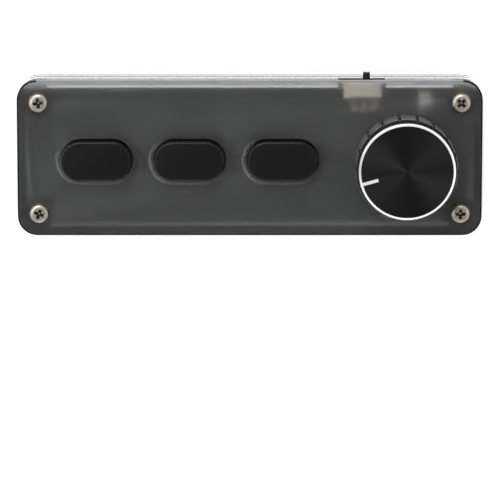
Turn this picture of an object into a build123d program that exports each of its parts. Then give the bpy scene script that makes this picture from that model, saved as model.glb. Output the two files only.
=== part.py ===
from build123d import *
import os

# Macro keypad: three pill-shaped keys, one knob that turns and pushes, and a slide
# switch, in a case bolted together from flat acrylic sheets.
#
# Millimetres, +Z up. The origin is on the desk, in the middle of the footprint with
# the slide lever included. +X points to the knob end, +Y to the slide switch's edge.

# ---- Case: a stack of flat sheets, from the desk up -------------------------------
case_length = 119.0
case_depth = 40.0
corner_radius = 5.0
wall = 2.0
foot_height = 2.0
base_thickness = 2.0
lower_frame_height = 4.0
upper_frame_height = 5.0
top_thickness = 2.0
top_edge = 0.25                # chamfer round the upper edge of the top plate
foot_radius = 5.0
foot_edge = 0.3
foot_inset_x = 14.5            # from the case's end to a foot's middle
foot_inset_y = 7.0

# ---- Screws, spacers and standoffs at the four corners ----------------------------
screw_inset_x = 5.5
screw_inset_y = 5.7
thread_radius = 1.25           # M2.5
thread_gap = 0.03              # between a screw's shank and its threaded hole
screw_clearance = 0.15         # between a thread and a plain hole that it passes
head_radius = 2.38
head_height = 1.2
head_edge = 0.3
recess_span = 2.5              # cross recess, tip to tip
recess_width = 0.72
recess_depth = 0.8
thread_engaged = 2.2           # length of screw inside a standoff
top_recess_turns = (70, 0, 45, 8)          # how far each screw happens to be turned
base_recess_turns = (20, 55, 80, 33)
spacer_radius = 2.5
standoff_flat = 4.5            # across the flats of the hexagon
standoff_play = 0.15
ear_wall = 1.6                 # acrylic left round a standoff's hole

# ---- Circuit board ----------------------------------------------------------------
board_thickness = 1.6
board_gap = 0.3                # from the board's edge to the frame
pin_gap = 0.1                  # round every pin and peg that passes the board
pin_tail = 0.8                 # how far pins stand out under the board

# ---- Keys -------------------------------------------------------------------------
key_pitch = 23.8
key_middle_x = -15.45
key_y = -0.3
key_hole_length = 18.4
key_hole_depth = 10.4
key_hole_shift = 0.15          # the holes are cut this far right of the switches
cap_gap = 0.27
cap_height = 3.0
cap_edge = 0.35
cap_skin = 1.3                 # walls and roof of the cap
key_travel = 3.0
prong_spread = 5.7             # between the middles of a cap's two prongs
prong_width = 1.1
prong_depth = 2.9
prong_length = 2.6
prong_gap = 0.05
stem_reach = 0.3               # the stem's top stands this far inside the cap
stem_length = 9.0
stem_depth = 4.4
stem_shoulder = 0.7            # step that keeps the stem under the switch cover
stem_gap = 0.1
stem_roof = 0.8
housing_side = 13.8
housing_lip = 0.6              # the cover's rim stands out this far past the housing
housing_lip_height = 0.8
housing_floor = 0.6
housing_roof = 0.6
housing_split = 2.2            # height of the housing's lower half
housing_chamfer = 0.5
cover_gap = 0.1                # from the switch cover to the top plate
post_radius = 1.7
peg_radius = 0.9
peg_spread = 11.0
post_length = 2.6
spring_bore = 1.9
spring_radius = 1.5            # middle of the wire
spring_wire = 0.32
spring_turns = 6
contact_width = 2.0
contact_thickness = 0.3
contact_y = 5.0
contact_spread = 5.0

# ---- Rotary encoder ---------------------------------------------------------------
knob_x = 39.8
knob_y = -1.5
push_travel = 0.5
encoder_side = 11.8
clip_thickness = 0.3
clip_depth = 8.0
clip_tab = 1.6
clip_gap = 0.02
bush_plate = 1.0
bush_radius = 3.5
bush_length = 5.0
bush_gap = 0.1
shaft_radius = 3.0
shaft_gap = 0.05
shaft_height = 12.0            # above the bush's mounting face
shaft_flat = 1.5               # from the axis to the flat of the D
stub_radius = 1.5
rotor_radius = 4.5
rotor_height = 1.3
rotor_gap = 0.1
rotor_chamber = 0.3            # round the rotor
encoder_floor = 0.5
dome_radius = 2.4
dome_height = 0.75
dome_thickness = 0.12
plunger_radius = 2.6
plunger_height = 0.5
plunger_collar = 0.7           # wall that guides the plunger
encoder_pin_pitch = 2.5
encoder_pin_reach = 1.2
encoder_pin_width = 0.8
encoder_pin_thickness = 0.3
washer_radius = 5.5
washer_thickness = 0.5
nut_flat = 10.0
nut_height = 2.0

# ---- Knob -------------------------------------------------------------------------
knob_height = 13.0
knob_gap = 1.0                 # over the top plate
skirt_radius = 13.0
skirt_height = 9.4
skirt_edge = 0.3
neck_radius = 11.8             # bottom of the groove between skirt and band
neck_height = 0.7
band_radius = 12.3
ring_chamfer = 0.6             # the bright ring is this chamfer
flute_count = 18
flute_width = 0.8
flute_depth = 0.5
flute_start = 18.2             # angle of the first flute
knob_wall = 3.0
knob_roof = 2.2
core_gap = 0.02
core_clearance = 0.8           # over the end of the bush
core_rim = 1.4
core_hub = 5.2
core_rib = 1.2
core_ribs = 6
core_web = 1.0
pointer_angle = 195.6
pointer_length = 4.1
pointer_width = 0.8
pointer_depth = 0.3

# ---- Slide switch -----------------------------------------------------------------
switch_x = 28.7
switch_slot = 12.3             # gap in the upper frame's back wall
switch_length = 9.6
switch_height = 3.7
switch_depth = 3.6
switch_inset = 0.8             # from the case's back face to the switch's
shield_play = 0.3              # between the black shield and the gap that it stands in
shield_height = 3.6
shield_thickness = 0.5
switch_shell_wall = 0.35
switch_base_depth = 0.9
switch_shelf_depth = 2.85      # the base's low shelf under the terminals
lever_width = 1.8
lever_height = 1.9
lever_reach = 1.6              # past the case's back face
lever_travel = 2.4
slider_depth = 3.0
slider_gap = 0.12
terminal_pitch = 2.5
terminal_reach = 3.3
terminal_width = 0.7
terminal_thickness = 0.35

# ---- Micro-USB socket, controller and light ---------------------------------------
usb_y = 0.0
usb_width = 7.5
usb_foot_width = 5.6
usb_height = 2.35
usb_shoulder = 1.0             # height of the socket's sloping corners
usb_length = 5.6
usb_inset = 0.3
usb_skin = 0.25
usb_slot = 8.6                 # notch milled in the lower frame's right wall
usb_slot_gap = 0.2             # between the socket's back and the notch
tongue_width = 3.7
tongue_thickness = 0.6
tongue_length = 4.2
chip_width = 7.0
chip_height = 1.0
chip_from_knob = 15.3          # between the knob's axis and the chip's middle
chip_y = -2.0
chip_lead = 0.9
chip_leads = 8
chip_pitch = 0.8
resistor_length = 2.0
resistor_width = 1.25
resistor_height = 0.6
resistor_pitch = 2.6
resistors = 4
crystal_length = 5.0
crystal_width = 3.2
crystal_height = 1.2
part_gap = 1.0                 # between the chip and the parts round it
led_inset_x = 14.9             # from the case's right end to the light's middle
led_inset_y = 5.0              # from the case's back
led_length = 3.5
led_depth = 2.8
led_height = 1.0
lens_radius = 1.2

# ---- Levels and places worked out from the sizes ----------------------------------
z_base = foot_height
z_lower = z_base + base_thickness
z_upper = z_lower + lower_frame_height         # also the board's upper face
z_top = z_upper + upper_frame_height
z_face = z_top + top_thickness
z_board = z_upper - board_thickness
case_y = -lever_reach / 2                      # the case's middle, seen from the origin

inner_length = case_length - 2 * wall
inner_depth = case_depth - 2 * wall
inner_radius = corner_radius - wall
screw_x = case_length / 2 - screw_inset_x
screw_y = case_depth / 2 - screw_inset_y
foot_x = case_length / 2 - foot_inset_x
foot_y = case_depth / 2 - foot_inset_y
plain_hole = thread_radius + screw_clearance
standoff_hole = standoff_flat / 3**0.5 + standoff_play

key_places = {
    "left": key_middle_x - key_pitch,
    "middle": key_middle_x,
    "right": key_middle_x + key_pitch,
}
cap_length = key_hole_length - 2 * cap_gap
cap_depth = key_hole_depth - 2 * cap_gap
z_cap = z_top + key_travel                     # the cap's rim, with the key up
z_cover = z_top - cover_gap                    # top of the switch housing
z_roof = z_cover - housing_roof
z_split = z_upper + housing_split
z_floor = z_upper + housing_floor
z_stem = z_floor + key_travel + stem_gap       # underside of the stem
z_stem_top = z_cap + stem_reach
well_length = stem_length + 2 * stem_shoulder + 4 * stem_gap
well_depth = stem_depth + 2 * stem_shoulder + 4 * stem_gap

z_shaft = z_top + shaft_height
z_bush = z_top + bush_length
z_dome = z_upper + clip_thickness + encoder_floor
z_plunger = z_dome + dome_height
z_stub = z_plunger + plunger_height + shaft_gap
z_rotor = z_top - bush_plate - rotor_gap - rotor_height
z_knob = z_face + knob_gap
z_knob_top = z_knob + knob_height
z_core = z_bush + core_clearance
z_cavity = z_knob_top - knob_roof
cavity_radius = skirt_radius - knob_wall

switch_back = case_depth / 2 - switch_inset
switch_front = switch_back - switch_depth
slider_length = switch_length - 2 * switch_shell_wall - lever_travel - 2 * slider_gap
lever_x = switch_x + lever_travel / 2          # at rest against its right-hand stop
usb_mouth = case_length / 2 - usb_inset
chip_x = knob_x - chip_from_knob
led_x = case_length / 2 - led_inset_x
led_y = case_depth / 2 - led_inset_y


def level(z):
    """The horizontal plane at height z, with its origin over the case's middle."""
    return Plane((0, case_y, z))


def corners(x, y):
    """The four corners of a rectangle with half sides x and y."""
    return [(-x, -y), (x, -y), (x, y), (-x, y)]


def upright(x, y):
    """The upright plane through a vertical axis: its X is +X and its Y is +Z."""
    return Plane((x, case_y + y, 0), x_dir=(1, 0, 0), z_dir=(0, -1, 0))


def axis_at(x, y):
    """The vertical axis through a point given from the case's middle."""
    return Axis((x, case_y + y, 0), (0, 0, 1))


def case_outline():
    RectangleRounded(case_length, case_depth, corner_radius)


def ring_outline():
    """A frame's plan: the case's outline less the space inside its walls."""
    case_outline()
    RectangleRounded(inner_length, inner_depth, inner_radius, mode=Mode.SUBTRACT)


os.makedirs("parts", exist_ok=True)

# ---- Case ------------------------------------------------------------------------
with BuildPart() as base_plate:
    with BuildSketch(level(z_base)):
        case_outline()
        with Locations(*corners(screw_x, screw_y)):
            Circle(plain_hole, mode=Mode.SUBTRACT)
    extrude(amount=base_thickness)
base_plate.part.label = "base_plate"
export_step(base_plate.part, "parts/base_plate.step")

# The socket comes out through a notch in the lower frame's right wall.
with BuildPart() as lower_frame:
    with BuildSketch(level(z_lower)):
        ring_outline()
    extrude(amount=lower_frame_height)
    with BuildSketch(level(z_lower)):
        with Locations((case_length / 2 - wall / 2, usb_y)):
            Rectangle(2 * wall, usb_slot)
    extrude(amount=z_board + usb_slot_gap - z_lower, mode=Mode.SUBTRACT)
lower_frame.part.label = "lower_frame"
export_step(lower_frame.part, "parts/lower_frame.step")

# The upper frame has an ear round each standoff, and a gap for the switch.
with BuildPart() as upper_frame:
    with BuildSketch(level(z_upper)):
        ring_outline()
        with BuildSketch(level(z_upper), mode=Mode.PRIVATE) as ears:
            with Locations(*corners(screw_x, screw_y)):
                Circle(standoff_hole + ear_wall)
            RectangleRounded(case_length, case_depth, corner_radius, mode=Mode.INTERSECT)
        add(ears.sketch)
        with Locations(*corners(screw_x, screw_y)):
            Circle(standoff_hole, mode=Mode.SUBTRACT)
        with Locations((switch_x, case_depth / 2)):
            Rectangle(switch_slot, 2 * wall, mode=Mode.SUBTRACT)
    extrude(amount=upper_frame_height)
upper_frame.part.label = "upper_frame"
export_step(upper_frame.part, "parts/upper_frame.step")

with BuildPart() as top_plate:
    with BuildSketch(level(z_top)):
        case_outline()
    extrude(amount=top_thickness)
    chamfer(top_plate.faces().sort_by(Axis.Z)[-1].edges(), top_edge)
    with BuildSketch(level(z_top)):
        with Locations(*corners(screw_x, screw_y)):
            Circle(plain_hole)
        with Locations(*[(x + key_hole_shift, key_y) for x in key_places.values()]):
            SlotOverall(key_hole_length, key_hole_depth)
        with Locations((knob_x, knob_y)):
            Circle(bush_radius + bush_gap)
    extrude(amount=top_thickness, mode=Mode.SUBTRACT)
top_plate.part.label = "top_plate"
export_step(top_plate.part, "parts/top_plate.step")

with BuildPart() as foot_pads:
    with BuildSketch(level(0)):
        with Locations(*corners(foot_x, foot_y)):
            Circle(foot_radius)
    extrude(amount=foot_height)
    chamfer(foot_pads.faces().group_by(Axis.Z)[0].edges(), foot_edge)
foot_pads.part.label = "foot_pads"
export_step(foot_pads.part, "parts/foot_pads.step")

# ---- Fasteners -------------------------------------------------------------------
with BuildPart() as board_spacers:
    with BuildSketch(level(z_lower)):
        with Locations(*corners(screw_x, screw_y)):
            Circle(spacer_radius)
            Circle(plain_hole, mode=Mode.SUBTRACT)
    extrude(amount=lower_frame_height - board_thickness)
board_spacers.part.label = "board_spacers"
export_step(board_spacers.part, "parts/board_spacers.step")

with BuildPart() as standoffs:
    with BuildSketch(level(z_upper)):
        with Locations(*corners(screw_x, screw_y)):
            RegularPolygon(standoff_flat / 2, 6, major_radius=False)
            Circle(thread_radius, mode=Mode.SUBTRACT)
    extrude(amount=upper_frame_height)
standoffs.part.label = "standoffs"
export_step(standoffs.part, "parts/standoffs.step")

with BuildPart() as top_screws:
    with BuildSketch(level(z_face)):
        with Locations(*corners(screw_x, screw_y)):
            Circle(head_radius)
    extrude(amount=head_height)
    chamfer(top_screws.faces().group_by(Axis.Z)[-1].edges(), head_edge)
    with BuildSketch(level(z_face)):
        with Locations(*corners(screw_x, screw_y)):
            Circle(thread_radius - thread_gap)
    extrude(amount=-(top_thickness + thread_engaged))
    for place, turn in zip(corners(screw_x, screw_y), top_recess_turns):
        with BuildSketch(level(z_face + head_height)):
            with Locations(Location((*place, 0), (0, 0, turn))):
                Rectangle(recess_span, recess_width)
                Rectangle(recess_width, recess_span)
        extrude(amount=-recess_depth, mode=Mode.SUBTRACT)
top_screws.part.label = "top_screws"
export_step(top_screws.part, "parts/top_screws.step")

with BuildPart() as base_screws:
    with BuildSketch(level(z_base)):
        with Locations(*corners(screw_x, screw_y)):
            Circle(head_radius)
    extrude(amount=-head_height)
    chamfer(base_screws.faces().group_by(Axis.Z)[0].edges(), head_edge)
    with BuildSketch(level(z_base)):
        with Locations(*corners(screw_x, screw_y)):
            Circle(thread_radius - thread_gap)
    extrude(amount=base_thickness + lower_frame_height + thread_engaged)
    for place, turn in zip(corners(screw_x, screw_y), base_recess_turns):
        with BuildSketch(level(z_base - head_height)):
            with Locations(Location((*place, 0), (0, 0, turn))):
                Rectangle(recess_span, recess_width)
                Rectangle(recess_width, recess_span)
        extrude(amount=recess_depth, mode=Mode.SUBTRACT)
base_screws.part.label = "base_screws"
export_step(base_screws.part, "parts/base_screws.step")

# ---- Circuit board and what is soldered to it ------------------------------------
key_points = [(x, key_y) for x in key_places.values()]
contact_points = [
    (x + side * contact_spread / 2, key_y + contact_y)
    for x in key_places.values()
    for side in (-1, 1)
]
encoder_pin_y = encoder_side / 2 + encoder_pin_reach - encoder_pin_thickness / 2
encoder_pins_at = [
    (knob_x + step * encoder_pin_pitch, knob_y - encoder_pin_y) for step in (-1, 0, 1)
] + [(knob_x + step * encoder_pin_pitch, knob_y + encoder_pin_y) for step in (-1, 1)]
clip_x = encoder_side / 2 + clip_gap + clip_thickness / 2
terminal_y = switch_front - switch_base_depth - terminal_reach + terminal_thickness / 2
terminals_at = [(switch_x + step * terminal_pitch, terminal_y) for step in (-1, 0, 1)]

with BuildPart() as circuit_board:
    with BuildSketch(level(z_board)):
        RectangleRounded(
            inner_length - 2 * board_gap,
            inner_depth - 2 * board_gap,
            inner_radius - board_gap,
        )
        with Locations(*corners(screw_x, screw_y)):
            Circle(plain_hole, mode=Mode.SUBTRACT)
        with Locations(*key_points):
            Circle(post_radius + pin_gap, mode=Mode.SUBTRACT)
            with Locations((-peg_spread / 2, 0), (peg_spread / 2, 0)):
                Circle(peg_radius + pin_gap, mode=Mode.SUBTRACT)
        with Locations(*contact_points):
            Circle(contact_thickness + pin_gap, mode=Mode.SUBTRACT)
        with Locations(*encoder_pins_at):
            Circle(encoder_pin_width / 2 + pin_gap, mode=Mode.SUBTRACT)
        with Locations((knob_x - clip_x, knob_y), (knob_x + clip_x, knob_y)):
            SlotOverall(
                clip_tab + 4 * pin_gap, clip_thickness + 4 * pin_gap, 90, mode=Mode.SUBTRACT
            )
        with Locations(*terminals_at):
            Circle(terminal_width / 2 + pin_gap, mode=Mode.SUBTRACT)
    extrude(amount=board_thickness)
circuit_board.part.label = "circuit_board"
export_step(circuit_board.part, "parts/circuit_board.step")

# The controller and the small parts hang under the board, in the lower frame's space.
with BuildPart() as controller_chip:
    with BuildSketch(level(z_board)):
        with Locations((chip_x, chip_y)):
            Rectangle(chip_width, chip_width)
    extrude(amount=-chip_height)
    chamfer(controller_chip.faces().sort_by(Axis.Z)[0].edges(), chip_height / 5)
    with BuildSketch(level(z_board)):
        with Locations((chip_x, chip_y)):
            with GridLocations(chip_pitch, chip_width + chip_lead, chip_leads, 2):
                Rectangle(chip_pitch / 2, chip_lead)
            with GridLocations(chip_width + chip_lead, chip_pitch, 2, chip_leads):
                Rectangle(chip_lead, chip_pitch / 2)
    extrude(amount=-chip_height / 4)
controller_chip.part.label = "controller_chip"
export_step(controller_chip.part, "parts/controller_chip.step")

chip_reach = chip_width / 2 + chip_lead + part_gap
with BuildPart() as board_components:
    with BuildSketch(level(z_board)):
        with Locations((chip_x, chip_y - chip_reach - resistor_length / 2)):
            with GridLocations(resistor_pitch, 1, resistors, 1):
                Rectangle(resistor_width, resistor_length)
        with Locations((usb_mouth - usb_length - resistor_length, usb_y)):
            with GridLocations(1, usb_width + resistor_width, 1, 2):
                Rectangle(resistor_length, resistor_width)
    extrude(amount=-resistor_height)
    with BuildSketch(level(z_board)):
        with Locations((chip_x, chip_y + chip_reach + crystal_width / 2)):
            RectangleRounded(crystal_length, crystal_width, crystal_width / 4)
    extrude(amount=-crystal_height)
board_components.part.label = "board_components"
export_step(board_components.part, "parts/board_components.step")

with BuildPart() as indicator_led:
    with BuildSketch(level(z_upper)):
        with Locations((led_x, led_y)):
            Rectangle(led_length, led_depth)
    extrude(amount=led_height)
    chamfer(indicator_led.faces().sort_by(Axis.Z)[-1].edges(), led_height / 10)
    with BuildSketch(level(z_upper + led_height)):
        with Locations((led_x, led_y)):
            Circle(lens_radius)
    extrude(amount=-led_height / 5, mode=Mode.SUBTRACT)
indicator_led.part.label = "indicator_led"
export_step(indicator_led.part, "parts/indicator_led.step")

# The socket hangs under the board with its wide side against it.
usb_mouth_plane = Plane(
    (usb_mouth, case_y + usb_y, z_board), x_dir=(0, 1, 0), z_dir=(1, 0, 0)
)
usb_outline = [
    (-usb_width / 2, 0),
    (usb_width / 2, 0),
    (usb_width / 2, usb_shoulder - usb_height),
    (usb_foot_width / 2, -usb_height),
    (-usb_foot_width / 2, -usb_height),
    (-usb_width / 2, usb_shoulder - usb_height),
]
with BuildPart() as usb_shell:
    with BuildSketch(usb_mouth_plane) as usb_section:
        with BuildLine():
            Polyline(*usb_outline, close=True)
        make_face()
        offset(amount=-usb_skin, kind=Kind.INTERSECTION, mode=Mode.SUBTRACT)
    extrude(amount=-usb_length)
usb_shell.part.label = "usb_shell"
export_step(usb_shell.part, "parts/usb_shell.step")

# The insulator fills the back of the shell and carries the tongue between its walls.
with BuildPart() as usb_tongue:
    with BuildSketch(usb_mouth_plane.offset(-usb_length)):
        with BuildLine():
            Polyline(*usb_outline, close=True)
        make_face()
        offset(amount=-usb_skin, kind=Kind.INTERSECTION, mode=Mode.REPLACE)
    extrude(amount=usb_length - tongue_length - usb_skin)
    with BuildSketch(usb_mouth_plane.offset(-tongue_length - usb_skin)):
        with Locations((0, -(usb_height - tongue_thickness) / 2)):
            Rectangle(tongue_width, tongue_thickness)
    extrude(amount=tongue_length)
usb_tongue.part.label = "usb_tongue"
export_step(usb_tongue.part, "parts/usb_tongue.step")

# ---- Slide switch, lying on its side with its lever out of the back wall ---------
switch_middle = (switch_front + switch_back) / 2
terminal_end = switch_front - switch_base_depth
z_lever = z_upper + switch_height / 2

with BuildPart() as switch_shell:
    with BuildSketch(level(z_upper)):
        with Locations((switch_x, switch_middle)):
            Rectangle(switch_length, switch_depth)
    extrude(amount=switch_height)
    fillet(switch_shell.edges().filter_by(Axis.Z).group_by(Axis.Y)[-1], 0.5)
    with BuildSketch(level(z_upper + switch_shell_wall)):
        with Locations((switch_x, switch_middle - switch_shell_wall)):
            Rectangle(switch_length - 2 * switch_shell_wall, switch_depth)
    extrude(amount=switch_height - 2 * switch_shell_wall, mode=Mode.SUBTRACT)
    with BuildSketch(level(z_lever - lever_height / 2 - slider_gap)):
        with Locations((switch_x, switch_back)):
            Rectangle(lever_width + lever_travel + 4 * slider_gap, 4 * switch_shell_wall)
    extrude(amount=lever_height + 2 * slider_gap, mode=Mode.SUBTRACT)
switch_shell.part.label = "switch_shell"
export_step(switch_shell.part, "parts/switch_shell.step")

# A black shield stands in the gap behind the switch, with a slot for the lever.
with BuildPart() as switch_shield:
    with BuildSketch(level(z_upper)):
        with Locations((switch_x, switch_back + slider_gap / 2 + shield_thickness / 2)):
            Rectangle(switch_slot - shield_play, shield_thickness)
    extrude(amount=shield_height)
    with BuildSketch(level(z_lever - lever_height / 2 - slider_gap)):
        with Locations((switch_x, switch_back)):
            Rectangle(lever_width + lever_travel + 4 * slider_gap, 4 * shield_thickness)
    extrude(amount=lever_height + 2 * slider_gap, mode=Mode.SUBTRACT)
switch_shield.part.label = "switch_shield"
export_step(switch_shield.part, "parts/switch_shield.step")

with BuildPart() as switch_base:
    with BuildSketch(level(z_upper)):
        with Locations((switch_x, switch_front - switch_base_depth / 2)):
            Rectangle(switch_length, switch_base_depth)
    extrude(amount=switch_height)
    with BuildSketch(level(z_upper)):
        with Locations((switch_x, terminal_end - switch_shelf_depth / 2)):
            Rectangle(switch_length - 2 * switch_shell_wall, switch_shelf_depth)
    extrude(amount=z_lever - terminal_thickness / 2 - z_upper)
switch_base.part.label = "switch_base"
export_step(switch_base.part, "parts/switch_base.step")

# The base has a low shelf, and the terminals lie on it before they turn down.
with BuildPart() as switch_terminals:
    with BuildSketch(level(z_lever)):
        with Locations(*[(x, terminal_end - terminal_reach / 2) for x, _ in terminals_at]):
            Rectangle(terminal_width, terminal_reach)
    extrude(amount=terminal_thickness / 2, both=True)
    with BuildSketch(level(z_lever)):
        with Locations(*terminals_at):
            Rectangle(terminal_width - pin_gap, terminal_thickness)
    extrude(amount=-(z_lever - z_board + pin_tail))
switch_terminals.part.label = "switch_terminals"
export_step(switch_terminals.part, "parts/switch_terminals.step")

with BuildPart() as slide_lever:
    with BuildSketch(level(z_upper + switch_shell_wall + slider_gap)):
        with Locations(
            (lever_x, switch_back - switch_shell_wall - slider_gap - slider_depth / 2)
        ):
            Rectangle(slider_length, slider_depth)
    extrude(amount=switch_height - 2 * switch_shell_wall - 2 * slider_gap)
    lever_end = case_depth / 2 + lever_reach
    lever_root = switch_back - switch_shell_wall - 2 * slider_gap
    with BuildSketch(level(z_lever)):
        with Locations((lever_x, (lever_end + lever_root) / 2)):
            Rectangle(lever_width, lever_end - lever_root)
    extrude(amount=lever_height / 2, both=True)
    chamfer(slide_lever.faces().sort_by(Axis.Y)[-1].edges(), 0.15)
slide_lever.part.label = "slide_lever"
export_step(slide_lever.part, "parts/slide_lever.step")

# ---- Key switches and caps -------------------------------------------------------
with BuildPart() as contact_leaves:
    with BuildSketch(level(z_floor)):
        with Locations(*contact_points):
            Rectangle(contact_width, contact_thickness)
    extrude(amount=z_split - z_floor - pin_gap)
    with BuildSketch(level(z_floor)):
        with Locations(*contact_points):
            Circle(contact_thickness)
    extrude(amount=-(z_floor - z_upper + post_length))
contact_leaves.part.label = "contact_leaves"
export_step(contact_leaves.part, "parts/contact_leaves.step")

for side, key_x in key_places.items():
    middle = (key_x, key_y)

    # Lower half: floor and walls of the well, a post and two pegs through the board.
    with BuildPart() as key_base:
        with BuildSketch(level(z_upper)):
            with Locations(middle):
                Rectangle(housing_side, housing_side)
        extrude(amount=housing_split)
        with BuildSketch(level(z_floor)):
            with Locations(middle):
                Rectangle(well_length, well_depth)
        extrude(amount=housing_split, mode=Mode.SUBTRACT)
        with BuildSketch(level(z_floor)):
            with Locations(middle):
                with GridLocations(contact_spread, 1, 2, 1):
                    with Locations((0, contact_y)):
                        Rectangle(contact_width + pin_gap, contact_thickness + 2 * pin_gap)
        extrude(amount=housing_split, mode=Mode.SUBTRACT)
        with BuildSketch(level(z_upper)):
            with Locations(middle):
                with GridLocations(contact_spread, 1, 2, 1):
                    with Locations((0, contact_y)):
                        Circle(contact_thickness + pin_gap / 2)
        extrude(amount=housing_floor, mode=Mode.SUBTRACT)
        with BuildSketch(level(z_upper)):
            with Locations(middle):
                Circle(post_radius)
                with Locations((-peg_spread / 2, 0), (peg_spread / 2, 0)):
                    Circle(peg_radius)
        extrude(amount=-post_length)
        with BuildSketch(level(z_floor)):
            with Locations(middle):
                Circle(spring_radius - spring_wire)
        extrude(amount=housing_floor)
    key_base.part.label = f"key_base_{side}"
    export_step(key_base.part, f"parts/key_base_{side}.step")

    # Upper half: a rim, the upper walls of the well, and a roof with the stem's window.
    with BuildPart() as key_cover:
        with BuildSketch(level(z_split)):
            with Locations(middle):
                Rectangle(housing_side, housing_side)
        extrude(amount=z_cover - z_split)
        chamfer(key_cover.faces().sort_by(Axis.Z)[-1].edges(), housing_chamfer)
        with BuildSketch(level(z_split)):
            with Locations(middle):
                Rectangle(housing_side + 2 * housing_lip, housing_side + 2 * housing_lip)
        extrude(amount=housing_lip_height)
        with BuildSketch(level(z_split)):
            with Locations(middle):
                Rectangle(well_length, well_depth)
        extrude(amount=z_roof - z_split, mode=Mode.SUBTRACT)
        with BuildSketch(level(z_roof)):
            with Locations(middle):
                Rectangle(stem_length + 2 * stem_gap, stem_depth + 2 * stem_gap)
        extrude(amount=housing_roof, mode=Mode.SUBTRACT)
    key_cover.part.label = f"key_cover_{side}"
    export_step(key_cover.part, f"parts/key_cover_{side}.step")

    # Stem: shoulders under the roof, two slots for the cap, and a bore for the spring.
    with BuildPart() as key_stem:
        with BuildSketch(level(z_stem)):
            with Locations(middle):
                Rectangle(stem_length + 2 * stem_shoulder, stem_depth + 2 * stem_shoulder)
        extrude(amount=z_roof - prong_gap - z_stem)
        with BuildSketch(level(z_stem)):
            with Locations(middle):
                Rectangle(stem_length, stem_depth)
        extrude(amount=z_stem_top - z_stem)
        with BuildSketch(level(z_stem_top)):
            with Locations(middle):
                with GridLocations(prong_spread, 1, 2, 1):
                    Rectangle(prong_width + 2 * prong_gap, prong_depth + 2 * prong_gap)
        extrude(amount=-(prong_length + stem_gap), mode=Mode.SUBTRACT)
        with BuildSketch(level(z_stem)):
            with Locations(middle):
                Circle(spring_bore)
        extrude(amount=z_stem_top - stem_roof - z_stem, mode=Mode.SUBTRACT)
    key_stem.part.label = f"key_stem_{side}"
    export_step(key_stem.part, f"parts/key_stem_{side}.step")

    # Return spring: stands on the floor round a spigot and reaches up into the stem.
    spring_foot = z_floor + spring_wire / 2
    spring_length = z_stem_top - stem_roof - z_floor - spring_wire
    with BuildPart() as key_spring:
        with BuildLine() as coil:
            Helix(
                spring_length / spring_turns,
                spring_length,
                spring_radius,
                center=(key_x, case_y + key_y, spring_foot),
            )
        with BuildSketch(Plane(coil.line @ 0, z_dir=coil.line % 0)):
            Rectangle(spring_wire, spring_wire)
        sweep(is_frenet=True)
    key_spring.part.label = f"key_spring_{side}"
    export_step(key_spring.part, f"parts/key_spring_{side}.step")

    # Cap: a pill-shaped shell with a pad that sits on the stem and two prongs in its slots.
    with BuildPart() as key_cap:
        with BuildSketch(level(z_cap)):
            with Locations(middle):
                SlotOverall(cap_length, cap_depth)
        extrude(amount=cap_height)
        fillet(key_cap.faces().sort_by(Axis.Z)[-1].edges(), cap_edge)
        with BuildSketch(level(z_cap)):
            with Locations(middle):
                SlotOverall(cap_length - 2 * cap_skin, cap_depth - 2 * cap_skin)
        extrude(amount=cap_height - cap_skin, mode=Mode.SUBTRACT)
        with BuildSketch(level(z_stem_top)):
            with Locations(middle):
                Rectangle(stem_length, stem_depth)
        extrude(amount=z_cap + cap_height - cap_skin - z_stem_top)
        with BuildSketch(level(z_stem_top)):
            with Locations(middle):
                with GridLocations(prong_spread, 1, 2, 1):
                    Rectangle(prong_width, prong_depth)
        extrude(amount=-prong_length)
    key_cap.part.label = f"key_cap_{side}"
    export_step(key_cap.part, f"parts/key_cap_{side}.step")

# ---- Rotary encoder --------------------------------------------------------------
with BuildPart() as encoder_clip:
    with BuildSketch(level(z_upper)):
        with Locations((knob_x, knob_y)):
            Rectangle(2 * clip_x + clip_thickness, clip_depth)
    extrude(amount=clip_thickness)
    with BuildSketch(level(z_upper)):
        with Locations((knob_x - clip_x, knob_y), (knob_x + clip_x, knob_y)):
            Rectangle(clip_thickness, clip_depth)
    extrude(amount=upper_frame_height - bush_gap)
    with BuildSketch(level(z_upper)):
        with Locations((knob_x - clip_x, knob_y), (knob_x + clip_x, knob_y)):
            Rectangle(clip_thickness, clip_tab)
    extrude(amount=-(board_thickness + pin_tail))
encoder_clip.part.label = "encoder_clip"
export_step(encoder_clip.part, "parts/encoder_clip.step")

# The base is a cup: a chamber for the rotor and, in its floor, a collar for the plunger.
with BuildPart() as encoder_base:
    with BuildSketch(level(z_upper + clip_thickness)):
        with Locations((knob_x, knob_y)):
            Rectangle(encoder_side, encoder_side)
            Circle(rotor_radius + rotor_chamber, mode=Mode.SUBTRACT)
    extrude(amount=z_top - bush_plate - z_upper - clip_thickness)
    with BuildSketch(level(z_upper + clip_thickness)):
        with Locations((knob_x, knob_y)):
            Circle(rotor_radius + rotor_chamber)
    extrude(amount=encoder_floor)
    with BuildSketch(level(z_dome)):
        with Locations((knob_x, knob_y)):
            Circle(plunger_radius + rotor_gap + plunger_collar)
            Circle(plunger_radius + rotor_gap, mode=Mode.SUBTRACT)
    extrude(amount=z_rotor - push_travel - rotor_gap - z_dome)
encoder_base.part.label = "encoder_base"
export_step(encoder_base.part, "parts/encoder_base.step")

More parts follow.
